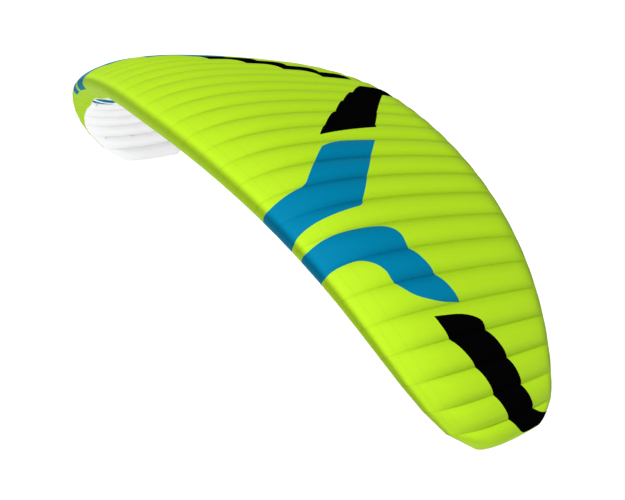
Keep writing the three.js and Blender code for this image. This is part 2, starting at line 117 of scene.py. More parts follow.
def rib_plane(rib):
    """Chord, twist, reference point, and the directions out of the cloth and along the span."""
    t = (MIDDLE - np.asarray(rib, float)) / MIDDLE
    hand = np.where(t < 0, -1.0, 1.0)
    a = np.minimum(np.abs(t), 1)
    s = a + a * (1 - a) * (RIB_SHIFT + RIB_SHIFT_TIP * (2 * a - 1))
    slope = slope_at(s)
    taper = np.maximum(1 - s ** TAPER_INNER, 0) ** TAPER_OUTER
    chord = CENTRE_CHORD * (TIP_SHARE + (1 - TIP_SHARE) * taper)
    sweep = CENTRE_CHORD * (SWEEP[0] * s ** 2 + SWEEP[1] * s ** 4 + SWEEP[2] * s ** 8)
    origin = np.stack([hand * np.interp(s, ARC_S, ARC_X), sweep, np.interp(s, ARC_S, ARC_Z)], -1)
    up = np.stack([hand * np.sin(slope), 0 * slope, np.cos(slope)], -1)
    span = np.stack([np.cos(slope), 0 * slope, -hand * np.sin(slope)], -1)
    return chord, TWIST * s ** 2, origin, up, span


def half_height(r):
    """Half the profile's height at a share r * r of the chord, as a share of the chord."""
    return 5 * RIB_THICKNESS * (
        0.2969 * r - 0.126 * r ** 2 - 0.3516 * r ** 4 + 0.2843 * r ** 6 - 0.1036 * r ** 8
    )


def height_rate(r):
    return 5 * RIB_THICKNESS * (
        0.2969 - 0.252 * r - 1.4064 * r ** 3 + 1.7058 * r ** 5 - 0.8288 * r ** 7
    )


def in_plane(plane, along, across):
    """The vector in a rib's plane that goes along the chord and across it."""
    _, twist, _, up, _ = plane
    c, s = np.cos(twist), np.sin(twist)
    forward = np.zeros(np.shape(along) + (3,))
    forward[..., 1] = along * c + across * s
    return forward + up * (across * c - along * s)[..., None]


def on_rib(rib, q):
    """The profile's point and outward normal in the rib's plane."""
    plane = rib_plane(rib)
    chord, origin = plane[0], plane[2]
    r, side = np.abs(q), np.where(q < 0, -1.0, 1.0)
    along = (r ** 2 - REFERENCE_SHARE) * chord
    across = side * (half_height(r) * chord + EDGE_HALF * r ** 2)
    n_along = -(height_rate(r) * chord + 2 * EDGE_HALF * r)
    n_across = 2 * q * chord
    size = np.hypot(n_along, n_across)
    return origin + in_plane(plane, along, across), in_plane(plane, n_along / size, n_across / size)


def puff(q):
    share = q ** 2
    most = np.where(q < 0, PUFF_LOWER, PUFF_UPPER)
    tail = np.sqrt(np.maximum(1 - share ** PUFF_TAIL, 0))
    return most * (1 - np.exp(-(share / PUFF_FADE) ** PUFF_FADE_POWER)) * tail


def on_cloth(cell, u, q, lift=1.0):
    """A point on a cell's cloth, u of the way across from its left rib, and a rough normal."""
    u, q = np.asarray(u, float), np.asarray(q, float)
    a, na = on_rib(cell + 0 * u, q)
    b, nb = on_rib(cell + 1 + 0 * u, q)
    w = u[..., None]
    normal = na * (1 - w) + nb * w
    normal /= np.linalg.norm(normal, axis=-1, keepdims=True)
    width = np.linalg.norm(b - a, axis=-1)
    rise = (lift * puff(q) * width * (1 - np.abs(2 * u - 1) ** PUFF_ROUND))[..., None]
    return a * (1 - w) + b * w + normal * rise, normal


STEP = 1e-3  # for slopes taken over a small distance
SHADE_LIFT_UPPER, SHADE_LIFT_LOWER = 1.7, 3.0  # how much fuller a cell is shaded than it is
# Where the shading starts to roll over at the trailing edge, how far, and how fast it grows
SHADE_ROLL_FROM, SHADE_ROLL, SHADE_ROLL_POWER = 0.92, 0.38, 1.2
SHADE_NOSE_TO, SHADE_NOSE = 0.028, 1.2  # and where it stops turning under the nose, and how far


def cloth_normal(cell, u, q, lift=1.0):
    """The true normal of the puffed cloth, taken inside the cell at its edges."""
    u0, u1 = np.maximum(u - STEP, 0), np.minimum(u + STEP, 1)
    q0, q1 = np.maximum(q - STEP, -1), np.minimum(q + STEP, 1)
    across = on_cloth(cell, u1, q, lift)[0] - on_cloth(cell, u0, q, lift)[0]
    along = on_cloth(cell, u, q1, lift)[0] - on_cloth(cell, u, q0, lift)[0]
    normal = np.cross(across, along)
    normal /= np.linalg.norm(normal, axis=-1, keepdims=True)
    rough = on_cloth(cell, u, q)[1]
    return normal * np.sign((normal * rough).sum(-1, keepdims=True))


def shading_normal(cell, u, q):
    """The normal that the cloth is shaded with, which deepens its creases, the roll at the
    trailing edge and the turn under the nose. The shape itself isn't changed."""
    normal = cloth_normal(cell, u, q, np.where(q < 0, SHADE_LIFT_LOWER, SHADE_LIFT_UPPER))
    plane = rib_plane(cell + u)
    back, up = in_plane(plane, np.ones(len(u)), np.zeros(len(u))), plane[3]
    roll = np.clip((q * np.abs(q) - SHADE_ROLL_FROM) / (1 - SHADE_ROLL_FROM), 0, 1)
    under = np.clip(1 - q ** 2 / SHADE_NOSE_TO, 0, 1)
    back_share, down_share = SHADE_ROLL * roll ** SHADE_ROLL_POWER, SHADE_NOSE * under
    normal = normal + back * back_share[:, None] - up * down_share[:, None]
    return normal / np.linalg.norm(normal, axis=-1, keepdims=True)


def cell_width(cell, q):
    a, b = on_rib(cell + 0 * q, q)[0], on_rib(cell + 1 + 0 * q, q)[0]
    return np.linalg.norm(b - a, axis=-1)


def root_of(share):
    """The chord place q of a signed share of the chord."""
    return math.copysign(math.sqrt(abs(share)), share)


# ---- Materials
RIPSTOP, THREAD_SHARE = 0.006, 0.16  # between the thick threads, and how much of it they fill
WEAVE = 0.0012  # between the fine threads
STITCH, STITCH_SHARE = 0.003, 0.62  # from one stitch to the next, and how much of it is thread
STITCHES_AT, STITCH_HALF_WIDTH, ALLOWANCE_SHADE_WIDTH = 0.004, 0.0006, 0.011  # metres from the seam
THREAD_HEIGHT, WEAVE_HEIGHT, CREASE_HEIGHT, STITCH_HEIGHT = 0.00012, 0.00003, 0.0007, 0.0005
SLOW_SCALE, CREASE_SCALE = 2.2, 34.0  # of the noise behind the cloth's shades and faint creases
# How strongly each shows in the cloth's colour, and how bright it is beside that colour
GRID_SHOWS, ALLOWANCE_SHADE_SHOWS, STITCH_SHOWS, STITCH_SHADE = 0.35, 0.3, 0.8, 0.7
WORN_FROM, WORN_SHOWS, WORN_SHADE = 0.35, 0.35, 0.93
ROUGHNESS, ROUGH_CHANGE = 0.6, 0.08
TAPE_WEAVE = 420.0  # the scale of the webbing's diagonal ribs
NET, NET_SHARE = 0.0022, 0.42  # the gauze's mesh, and how much of it is thread


def srgb(*channels):
    """Linear colour of an sRGB colour given from 0 to 255."""
    values = [c / 255 for c in channels]
    return tuple(c / 12.92 if c <= 0.04045 else ((c + 0.055) / 1.055) ** 2.4 for c in values)


def tint(colour, share):
    """A share of a colour, with alpha."""
    return (*[c * share for c in colour], 1)


class Nodes:
    """A short way to write a material's node tree."""

    def __init__(self, name):
        self.material = bpy.data.materials.new(name)
        self.material.use_nodes = True
        self.tree = self.material.node_tree
        self.shader = self.tree.nodes["Principled BSDF"]

    def add(self, kind, inputs=(), **settings):
        node = self.tree.nodes.new(kind)
        for key, value in settings.items():
            setattr(node, key, value)
        for socket, value in dict(inputs).items():
            self.put(node.inputs[socket], value)
        return node

    def put(self, socket, value):
        if isinstance(value, bpy.types.NodeSocket):
            self.tree.links.new(value, socket)
        else:
            socket.default_value = value

    def math(self, operation, a, b=0.0, c=0.0):
        node = self.add("ShaderNodeMath", {0: a, 1: b, 2: c}, operation=operation)
        return node.outputs[0]

    def mix(self, share, a, b):
        node = self.add("ShaderNodeMix", data_type="RGBA")
        self.put(node.inputs["Factor"], share)
        self.put(node.inputs["A"], a)
        self.put(node.inputs["B"], b)
        return node.outputs["Result"]

    def uv(self, name):
        node = self.add("ShaderNodeUVMap", uv_map=name)
        parts = self.add("ShaderNodeSeparateXYZ", {0: node.outputs[0]})
        return parts.outputs[0], parts.outputs[1]

    def stripes(self, along, pitch, share):
        """1 on a share of each pitch, 0 between."""
        turn = self.math("FRACT", self.math("DIVIDE", along, pitch))
        return self.math("LESS_THAN", turn, share)

    def crossed(self, across, along, pitch, share, how):
        """Stripes both ways, joined so that both or either count."""
        return self.math(
            how, self.stripes(across, pitch, share), self.stripes(along, pitch, share)
        )

    def finish(self, colour, rough, height, strength, distance):
        bump = self.add(
            "ShaderNodeBump", {"Height": height, "Strength": strength, "Distance": distance}
        )
        found = {"Base Color": colour, "Roughness": rough, "Normal": bump.outputs[0]}
        for socket, value in found.items():
            self.put(self.shader.inputs[socket], value)
        return self.material

    def noise(self, scale, detail=3.0, rough=0.5):
        where = self.add("ShaderNodeTexCoord").outputs["Object"]
        node = self.add(
            "ShaderNodeTexNoise",
            {"Vector": where, "Scale": scale, "Detail": detail, "Roughness": rough},
        )
        return node.outputs["Fac"]


def ripstop(name, colour, thread=0.9, seam=0.86, stitch=None, shine=0.04):
    """Coated ripstop cloth: thick threads in a grid, a darker band beside each rib seam for the
    doubled seam allowance and painted shade from the rib under the cloth, a row of stitches
    beside the seam, slow colour variation and faint creases. thread and seam are how bright the
    threads and that band are beside the cloth's colour."""
    n = Nodes(name)
    across, along = n.uv("cloth")
    from_seam, _ = n.uv("seam")
    grid = n.crossed(across, along, RIPSTOP, THREAD_SHARE, "MAXIMUM")
    weave = n.crossed(across, along, WEAVE, 0.5, "MULTIPLY")
    shade = n.mix(n.math("MULTIPLY", grid, GRID_SHOWS), (*colour, 1), tint(colour, thread))
    slow = n.noise(SLOW_SCALE)
    worn = n.math("MULTIPLY", n.math("SUBTRACT", slow, WORN_FROM), WORN_SHOWS)
    shade = n.mix(worn, shade, tint(colour, WORN_SHADE))
    # darker band beside each rib seam: the doubled seam allowance plus painted shade from the rib
    behind = n.math("LESS_THAN", from_seam, ALLOWANCE_SHADE_WIDTH)
    shade = n.mix(n.math("MULTIPLY", behind, ALLOWANCE_SHADE_SHOWS), shade, tint(colour, seam))
    beside = n.math("COMPARE", from_seam, STITCHES_AT, STITCH_HALF_WIDTH)
    dash = n.math("MULTIPLY", beside, n.stripes(along, STITCH, STITCH_SHARE))
    thread_colour = tint(stitch, 1) if stitch else tint(colour, STITCH_SHADE)
    shade = n.mix(n.math("MULTIPLY", dash, STITCH_SHOWS), shade, thread_colour)
    height = n.math("MULTIPLY", grid, THREAD_HEIGHT)
    creases = n.noise(CREASE_SCALE, 4.0, 0.6)
    for pattern, high in ((weave, WEAVE_HEIGHT), (creases, CREASE_HEIGHT), (dash, STITCH_HEIGHT)):
        height = n.math("ADD", height, n.math("MULTIPLY", pattern, high))
    rough = n.math("MULTIPLY_ADD", grid, -ROUGH_CHANGE, ROUGHNESS)
    rough = n.math("MULTIPLY_ADD", slow, ROUGH_CHANGE, rough)
    n.shader.inputs["Specular IOR Level"].default_value = shine
    return n.finish(shade, rough, height, 0.55, 1.0)


def webbing(name, colour):
    """Narrow woven tape: a diagonal rib weave in object space."""
    n = Nodes(name)
    where = n.add("ShaderNodeTexCoord").outputs["Object"]
    wave = n.add(
        "ShaderNodeTexWave",
        {"Vector": where, "Scale": TAPE_WEAVE, "Distortion": 0.6, "Detail": 1.0},
        wave_type="BANDS", bands_direction="DIAGONAL",
    ).outputs["Fac"]
    n.shader.inputs["Sheen Weight"].default_value = 0.15
    shade = n.mix(wave, tint(colour, 0.8), tint(colour, 1))
    return n.finish(shade, n.math("MULTIPLY_ADD", n.noise(60), 0.15, 0.65), wave, 0.4, 0.0004)


def gauze_material(name, colour):
    """Open net: pale crossed threads, the holes between painted dark as shade inside the cell."""
    n = Nodes(name)
    across, along = n.uv("cloth")
    threads = n.crossed(across, along, NET, NET_SHARE, "MAXIMUM")
    # the holes' dark tint is painted shade from inside the cell; the sheet itself has no openings
    shade = n.mix(threads, tint(colour, 0.45), tint(colour, 1))
    return n.finish(shade, n.math("MULTIPLY_ADD", threads, -0.2, 0.85), threads, 0.6, 0.0005)


LIME_COLOUR = srgb(156, 195, 29)
LIME = ripstop("lime_ripstop", LIME_COLOUR)
LIME_SEAM = ripstop("lime_double_seam", [c * 0.97 for c in LIME_COLOUR])
BLUE = ripstop("blue_ripstop", srgb(0, 107, 142), shine=0.02)
BLACK = ripstop(
    "black_ripstop", (0.0008,) * 3, thread=2.0, seam=1.0, stitch=(0.003,) * 3, shine=0.0
)
WHITE = ripstop("white_ripstop", srgb(228, 228, 229), thread=0.95, seam=0.93)
RIB_CLOTH = ripstop("rib_cloth", srgb(236, 238, 240), thread=0.93)
TAPE = webbing("white_webbing", srgb(228, 230, 232))
LOOP_TAPE = webbing("black_webbing", srgb(34, 35, 38))
GAUZE = gauze_material("intake_gauze", srgb(150, 186, 40))

# ---- Colour panels: outlines of the left half in ribs from its tip and shares of the chord, which
# are negative on the lower side. The right half mirrors them.


def curve(points, steps=5):
    """A smooth line through a few points."""
    points = [np.array(p, float) for p in points]
    ends = [2 * points[0] - points[1], *points, 2 * points[-1] - points[-2]]
    line = []
    for a, b, c, d in zip(ends, ends[1:], ends[2:], ends[3:]):
        for i in range(steps):
            t = i / steps
            line.append(0.5 * (
                2 * b + (c - a) * t + (2 * a - 5 * b + 4 * c - d) * t ** 2
                + (3 * b - a - 3 * c + d) * t ** 3
            ))
    return [tuple(p) for p in [*line, points[-1]]]


PAST = 1.1  # past the trailing edge
STRIPE_FOOT = -0.016  # where the stripes end under the nose

BLACK_OUTER = [
    *curve([(4.75, 0.302), (4.4, 0.312), (4, 0.331)], 3), (3, 0.406), (2, 0.452), (1, 0.503),
    *curve([(1, 0.503), (0.5, 0.575), (0.22, 0.645), (0.13, 0.74)]), (0.1, 1.0), (0.1, PAST),
    (0.62, PAST), *curve([(0.62, 1.0), (0.66, 0.92), (0.8, 0.84), (1, 0.773)], 3),
    (2, 0.698), (3, 0.643), *curve([(4, 0.565), (4.35, 0.54), (4.62, 0.45), (4.75, 0.302)], 4),
]
BLUE_REAR = [
    (6.8, STRIPE_FOOT),
    *curve([(6.8, 0), (6.9, 0.036), (6.95, 0.094), (6.93, 0.15), (6.7, 0.192), (6.4, 0.214),
            (6.05, 0.222), (5.5, 0.266), (5.15, 0.37), (5.0, 0.485)]),
    *curve([(5.0, 0.485), (5.5, 0.458), (6.05, 0.43), (7.0, 0.385), (7.5, 0.378), (7.8, 0.348),
            (7.95, 0.29), (8.0, 0.183), (7.93, 0.09), (7.75, 0)])[1:],
    (7.75, STRIPE_FOOT),
]
BLUE_FRONT = [
    (8.2, STRIPE_FOOT),
    *curve([(8.2, 0), (8.35, 0.025), (8.5, 0.086), (8.6, 0.166), (8.72, 0.305)]),
    *curve([(8.8, 0.322), (9.1, 0.352), (9.95, 0.438), (10.85, 0.525), (11.85, 0.62)]),
    (11.85, 0.461), (11.72, 0.41),
    *curve([(11.57, 0.365), (11.0, 0.296), (10.3, 0.215), (10.05, 0.18), (9.87, 0.11),
            (9.6, 0)]),
    (9.6, STRIPE_FOOT),
]
BLACK_INNER = [
    (12.25, 0.405), (14, 0.595), (17.0, 0.916), (17.0, PAST), (16.0, PAST), (16.0, 0.948),
    (12.6, 0.678),
]
CENTRE_LINE = [(16.05, 0.935), (16.0, 0.92), (16.0, PAST), (16.16, PAST)]
BLACK_INNER_RIGHT = [(12.25, 0.405), (14, 0.595), (16.0, 0.81), (16.0, 0.948), (12.6, 0.678)]
STREAK_REAR = [
    (6.62, -0.085), (6.27, -0.12), (6.15, -0.17), (6.2, -0.21), (6.4, -0.235), (6.42, -0.195),
    (6.55, -0.15), (6.8, -0.105),
]
STREAK_FRONT = [
    (7.05, -0.1), (7.5, -0.11), (7.6, -0.15), (7.35, -0.2), (6.75, -0.25), (6.6, -0.215),
    (6.68, -0.17), (6.85, -0.13),
]
NOSE_BAND = [
    (7.6, -0.04), (7.7, -0.13), (8.2, -0.19), (25.8, -0.19), (26.3, -0.13), (26.4, -0.04),
]


def mirrored(outline):
    return [(CELLS - k, v) for k, v in outline]


def to_place(outline):
    return [(k, root_of(v)) for k, v in outline]


def both_halves(name, left, right):
    return {f"{name}_left": to_place(left), f"{name}_right": to_place(mirrored(right))}


UPPER_REGIONS = {
    **both_halves("black_panel_outer", BLACK_OUTER, BLACK_OUTER),
    **both_halves("blue_panel_rear", BLUE_REAR, BLUE_REAR),
    **both_halves("blue_panel_front", BLUE_FRONT, BLUE_FRONT),
    **both_halves("black_panel_inner", BLACK_INNER, BLACK_INNER_RIGHT),
    "black_edging_right": to_place(mirrored(CENTRE_LINE)),
}
LOWER_REGIONS = {
    **both_halves("blue_streak_rear", STREAK_REAR, STREAK_REAR),
    **both_halves("blue_streak_front", STREAK_FRONT, STREAK_FRONT),
    "nose_band": to_place(NOSE_BAND),
}


def inside(point, outline):
    x, y = point
    odd = False
    for (x0, y0), (x1, y1) in zip(outline, outline[1:] + outline[:1]):
        if (y0 > y) != (y1 > y) and x < x0 + (y - y0) / (y1 - y0) * (x1 - x0):
            odd = not odd
    return odd


# ---- Cloth made of cell panels
U_STEPS = 8
CUT_MARGIN, CUT_JOIN = 1e-4, 1e-5
CHECKED_RIBS, CHECKED_PLACES = 60, 80  # where a piece's flat size is measured


def cut(sheet, outline):
    """Adds edges to a flat bmesh along an outline."""
    for (x0, y0), (x1, y1) in zip(outline, outline[1:] + outline[:1]):
        low = (min(x0, x1) - CUT_MARGIN, min(y0, y1) - CUT_MARGIN)
        high = (max(x0, x1) + CUT_MARGIN, max(y0, y1) + CUT_MARGIN)
        near = []
        for face in sheet.faces:
            xs = [v.co.x for v in face.verts]
            ys = [v.co.y for v in face.verts]
            if max(xs) > low[0] and min(xs) < high[0] and max(ys) > low[1] and min(ys) < high[1]:
                near.append(face)
        if not near or (x0 == x1 and y0 == y1):
            continue
        around = {item for face in near for item in (*face.verts, *face.edges)}
        bmesh.ops.bisect_plane(
            sheet, geom=[*near, *around], dist=CUT_JOIN,
            plane_co=(x0, y0, 0), plane_no=(y1 - y0, x0 - x1, 0),
        )


def flat_panel(cell, stations, outlines):
    """One cell's cloth as a flat bmesh of rib number and chord place, cut along outlines."""
    sheet = bmesh.new()
    rows = []
    for i in range(U_STEPS + 1):
        rib = cell + i / U_STEPS
        rows.append([sheet.verts.new((rib, q, 0)) for q in stations(rib)])
    for left, right in zip(rows, rows[1:]):
        for j in range(len(left) - 1):
            sheet.faces.new((left[j], right[j], right[j + 1], left[j + 1]))
    for outline in outlines:
        if min(x for x, _ in outline) < cell + 1 and max(x for x, _ in outline) > cell:
            cut(sheet, outline)
    return sheet


def placed(name, data):
    """A new object in the scene."""
    thing = bpy.data.objects.new(name, data)
    bpy.context.collection.objects.link(thing)
    return thing


class Cloth:
    """Gathers cell panels into one closed piece with the cloth's thickness."""

    def __init__(self, name, *materials, thickness=CLOTH):
        self.name, self.materials, self.thickness = name, materials, thickness
        self.points, self.faces, self.normals, self.cloth_uv, self.seam_uv = [], [], [], [], []
        self.kinds, self.area = [], 0.0
        self.low, self.high = np.full(2, np.inf), np.full(2, -np.inf)

    def add(self, cell, places, faces, kinds, depth=None):
        """places are rib numbers and chord places, and faces index them."""
        places = np.array(places, float)
        u, q = np.clip(places[:, 0] - cell, 0, 1), np.clip(places[:, 1], -1, 1)
        outer = on_cloth(cell, u, q)[0]
        normal = cloth_normal(cell, u, q)
        if depth is not None:
            outer = outer - normal * np.array(depth)[:, None]
        inner = outer - normal * self.thickness
        shaded = shading_normal(cell, u, q)
        self.add_shell(outer, inner, shaded, faces, kinds, *self.metric(cell, u, q))
        self.low = np.minimum(self.low, places.min(0))
        self.high = np.maximum(self.high, places.max(0))

    def add_grid(self, cell, places, depths):
        """A plain panel over a whole cell, with the depth of each chord place under the cloth."""
        points = [(cell + i / U_STEPS, q) for i in range(U_STEPS + 1) for q in places]
        faces = grid_faces(U_STEPS + 1, len(places))
        self.add(cell, points, faces, [0] * len(faces), [*depths] * (U_STEPS + 1))

    @staticmethod
    def metric(cell, u, q):
        """Metres across and along the cloth, and metres from the nearest rib seam."""
        width = cell_width(cell, q)
        along = q * np.abs(q) * rib_plane(cell + 0.5)[0]
        cloth = np.stack([(u - 0.5) * width, along], -1)
        return cloth, np.stack([np.minimum(u, 1 - u) * width, along], -1)

    def add_shell(self, outer, inner, normal, faces, kinds, cloth, seam):
        start, count = len(self.points), len(outer)
        self.points.extend([*outer, *inner])
        used = {}
        for face, kind in zip(faces, kinds):
            facing = area_vector(outer[face])
            if facing @ normal[face].sum(0) < 0:
                face = face[::-1]
            back = face[::-1]
            self.put([start + i for i in face], normal[face], cloth[face], seam[face], kind)
            inside_out = [start + count + i for i in back]
            self.put(inside_out, -normal[back], cloth[back], seam[back], kind)
            self.area += float(np.linalg.norm(facing))
            for a, b in zip(face, face[1:] + face[:1]):
                used[(a, b)] = kind
        for (a, b), kind in used.items():
            if (b, a) in used:
                continue
            rim = Vector(outer[b] - outer[a]).cross(Vector(normal[a])).normalized()
            ring = [start + b, start + a, start + count + a, start + count + b]
            at = [b, a, a, b]
            self.put(ring, [rim] * 4, cloth[at], seam[at], kind)

    def put(self, face, normals, cloth, seam, kind):
        self.faces.append(face)
        self.normals.extend(normals)
        self.cloth_uv.extend(cloth)
        self.seam_uv.extend(seam)
        self.kinds.append(kind)

    def make(self):
        mesh = bpy.data.meshes.new(self.name)
        mesh.from_pydata([tuple(p) for p in self.points], [], self.faces)
        for name, values in (("cloth", self.cloth_uv), ("seam", self.seam_uv)):
            layer = mesh.uv_layers.new(name=name)
            layer.data.foreach_set("uv", np.array(values, np.float32).ravel())
        for material in self.materials:
            mesh.materials.append(material)
        mesh.polygons.foreach_set("material_index", self.kinds)
        mesh.polygons.foreach_set("use_smooth", [True] * len(self.faces))
        mesh.normals_split_custom_set([tuple(n) for n in self.normals])
        return placed(self.name, mesh)

    def flat_size(self):
        """The width and length of the cut cloth, from the widest cells and longest ribs."""
        ribs = np.linspace(self.low[0], self.high[0], CHECKED_RIBS)
        places = np.linspace(self.low[1], self.high[1], CHECKED_PLACES)
        across = max(path_length(ribs, 0 * ribs + q) for q in places[::8])
        along = max(path_length(0 * places + rib, places) for rib in ribs[::6])
        return across, along


def path_length(ribs, places):
    """The length over the cloth of a path of rib numbers and chord places."""
    cells = np.minimum(ribs.astype(int), CELLS - 1)
    points = on_cloth(cells, ribs - cells, np.clip(places, -1, 1))[0]
    return float(np.linalg.norm(np.diff(points, axis=0), axis=1).sum())


def area_vector(points):
    """A face's area along its normal."""
    x, y, z = (points[1:] - points[0]).T
    return np.array([
        (y[:-1] * z[1:] - z[:-1] * y[1:]).sum(), (z[:-1] * x[1:] - x[:-1] * z[1:]).sum(),
        (x[:-1] * y[1:] - y[:-1] * x[1:]).sum(),
    ]) / 2


def grid_faces(rows, columns):
    return [
        [i * columns + j, (i + 1) * columns + j, (i + 1) * columns + j + 1, i * columns + j + 1]
        for i in range(rows - 1) for j in range(columns - 1)
    ]


SHEET_LEAST, SHEET_MOST = 0.45, 0.95  # how much of its flat rectangle a cut piece fills


def declare(cloth):
    """Works out a piece's flat width and length, the width kept to what its area allows; the result
    isn't used.
    """
    across, along = cloth.flat_size()
    across = min(max(across, cloth.area / SHEET_MOST / along), cloth.area / SHEET_LEAST / along)


def tell(piece, body, slot, node=None):
    """Hangs a piece on the body that it rides on and hides the CAD node that it stands for. slot is
    not used.
    """
    if body:
        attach(piece, body)
    if node:
        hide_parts(node)


# ---- Skins
NOSE_STEP, CHORD_STEP, NOSE_END, TAIL_STEPS = 0.03, 0.0227, 0.3, 12
WRAP_STEPS, LOWER_STEPS = 6, 32
WRAP_PER_RIB, WRAP_FROM_RIB, WRAP_LEAST, WRAP_MOST = 0.026, 2, 0.012, 0.1  # of the chord
INSIDE = 1e-6  # of a cell's width
SEAMS_AT = (0.05, 0.105)  # spanwise seams behind the nose
SEAM_BAND, SEAM_CLEAR = 0.007, 0.006  # half the band in metres, and a chord place
HEM_FROM, HEM_STEPS = 0.985, 6  # the chord place that shows which way the hem points
LAP_FROM, LAP_COVER = 0.765, 0.785  # the brake flaps' lower cloth starts inside the fixed cloth


def nose_wrap(rib):
    """The share of the chord where the lower cloth starts, which is smaller near the tips."""
    from_tip = min(rib, CELLS - rib)
    return min(max(WRAP_PER_RIB * (from_tip - WRAP_FROM_RIB), WRAP_LEAST), WRAP_MOST)


def nose_edge(rib):
    """How far the top cloth wraps under the nose."""
    return INTAKE_FRONT if INTAKE_CELLS[0] < rib < INTAKE_CELLS[1] else nose_wrap(rib)


def within(cell, rib):
    """The rib number, kept just inside a cell."""
    return min(max(rib, cell + INSIDE), cell + 1 - INSIDE)


def tail_stations():
    """Shares from the hinge line to the trailing edge, closer where the cloth rolls down."""
    turns = np.linspace(0, math.pi / 2, TAIL_STEPS + 1)
    return HINGE_AT + (1 - HINGE_AT) * np.sin(turns)


def seam_edges(rib):
    """Both edges of each doubled seam behind the nose."""
    band = SEAM_BAND / rib_plane(rib)[0]
    return [math.sqrt(at + side * band) for at in SEAMS_AT for side in (-1, 1)]


def upper_stations(rib, edge):
    """Chord places from under the nose to the hinge line, with none close to a seam's edges."""
    under = np.linspace(-math.sqrt(edge), 0, WRAP_STEPS + 1)[:-1]
    nose = np.arange(0, NOSE_END - 1e-9, NOSE_STEP)
    count = round((HINGE_AT - NOSE_END ** 2) / CHORD_STEP)
    body = np.sqrt(np.linspace(NOSE_END ** 2, HINGE_AT, count + 1))
    seams = seam_edges(rib)
    clear = [q for q in [*under, *nose, *body] if all(abs(q - s) > SEAM_CLEAR for s in seams)]
    return sorted([*clear, *seams])


def stations_for(cell, edge_at):
    """A function that gives every row of a cell the same number of stations."""
    middle = cell + 0.5
    places, seams = upper_stations(middle, edge_at(middle)), seam_edges(middle)
    start = math.sqrt(edge_at(middle))

    def at(rib):
        near, moved = math.sqrt(edge_at(within(cell, rib))), dict(zip(seams, seam_edges(rib)))
        return [q * near / start if q < 0 else moved.get(q, q) for q in places]

    return at


def seam_kind(rib, q):
    """1 in a doubled spanwise seam, 0 elsewhere."""
    band = SEAM_BAND / rib_plane(rib)[0]
    return int(q > 0 and any(abs(q * q - at) < band for at in SEAMS_AT))


def sort_panel(sheet, cell, regions, rest, cloths, kind_of=None):
    """Shares out a cut panel's faces between the cloths of its regions."""
    sheet.verts.index_update()
    shared = {}
    for face in sheet.faces:
        centre = face.calc_center_median()
        at = (centre.x, centre.y)
        name = next((n for n, outline in regions.items() if inside(at, outline)), rest)
        shared.setdefault(name, []).append(face)
    for name, faces in shared.items():
        index, places, loops, kinds = {}, [], [], []
        for face in faces:
            loop = []
            for vert in face.verts:
                if vert.index not in index:
                    index[vert.index] = len(places)
                    places.append((vert.co.x, vert.co.y))
                loop.append(index[vert.index])
            centre = face.calc_center_median()
            loops.append(loop)
            kinds.append(kind_of(centre.x, centre.y) if kind_of and name == rest else 0)
        cloths[name].add(cell, places, loops, kinds)
    sheet.free()


def braked_cells():
    return {
        (CELLS - 1 - (FIRST_BRAKE_CELL + i) if hand == "right" else FIRST_BRAKE_CELL + i):
        (hand, i + 1, share)
        for i, share in enumerate(BRAKE_SHARES) for hand in ("left", "right")
    }


BRAKED = braked_cells()


def section_of(cell):
    return next(name for name, start, end in SECTIONS if start <= cell < end)


def colour_of(name):
    """The colour that a cloth's name tells."""
    if "underside" in name:
        return "white"
    return next((c for c in ("black", "blue") if name.startswith(c)), "lime")


def lower_stations(cell):
    """A function that gives the lower cloth's chord places, from the nose to the hinge line."""
    intake = INTAKE_CELLS[0] <= cell < INTAKE_CELLS[1]
    end = LAP_COVER if cell in BRAKED else HINGE_AT

    def at(rib):
        front = INTAKE_BACK if intake else nose_wrap(within(cell, rib))
        return [-math.sqrt(v) for v in np.linspace(front, end, LOWER_STEPS + 1)]

    return at


def build_skins():
    cloths = {}
    for side in ("top", "underside"):
        for name, *_ in SECTIONS:
            materials = (LIME, LIME_SEAM) if side == "top" else (WHITE,)
            cloths[f"canopy_{side}_{name}"] = Cloth(f"canopy_{side}_{name}", *materials)
    for name in (*UPPER_REGIONS, *LOWER_REGIONS):
        cloths[name] = Cloth(name, {"black": BLACK, "blue": BLUE, "lime": LIME}[colour_of(name)])
    tail = np.sqrt(tail_stations())
    for cell in range(CELLS):
        upper, lower = (f"canopy_{side}_{section_of(cell)}" for side in ("top", "underside"))
        sheet = flat_panel(cell, stations_for(cell, nose_edge), UPPER_REGIONS.values())
        sort_panel(sheet, cell, UPPER_REGIONS, upper, cloths, seam_kind)
        if cell not in BRAKED:
            sheet = flat_panel(cell, lambda rib: tail, UPPER_REGIONS.values())
            sort_panel(sheet, cell, UPPER_REGIONS, upper, cloths)
        sheet = flat_panel(cell, lower_stations(cell), LOWER_REGIONS.values())
        sort_panel(sheet, cell, LOWER_REGIONS, lower, cloths)
        if cell not in BRAKED:
            sheet = flat_panel(cell, lambda rib: -tail, [])
            sort_panel(sheet, cell, {}, lower, cloths)
    for cloth in cloths.values():
        _, side, section = cloth.name.split("_", 2) if "canopy" in cloth.name else ("", "", "")
        if side == "top":
            add_hem(cloth, section)
        piece = cloth.make()
        node = f"{'upper' if side == 'top' else 'lower'}_skin_{section}" if section else None
        tell(piece, "root", f"{colour_of(cloth.name)}_cloth", node)
        declare(cloth)


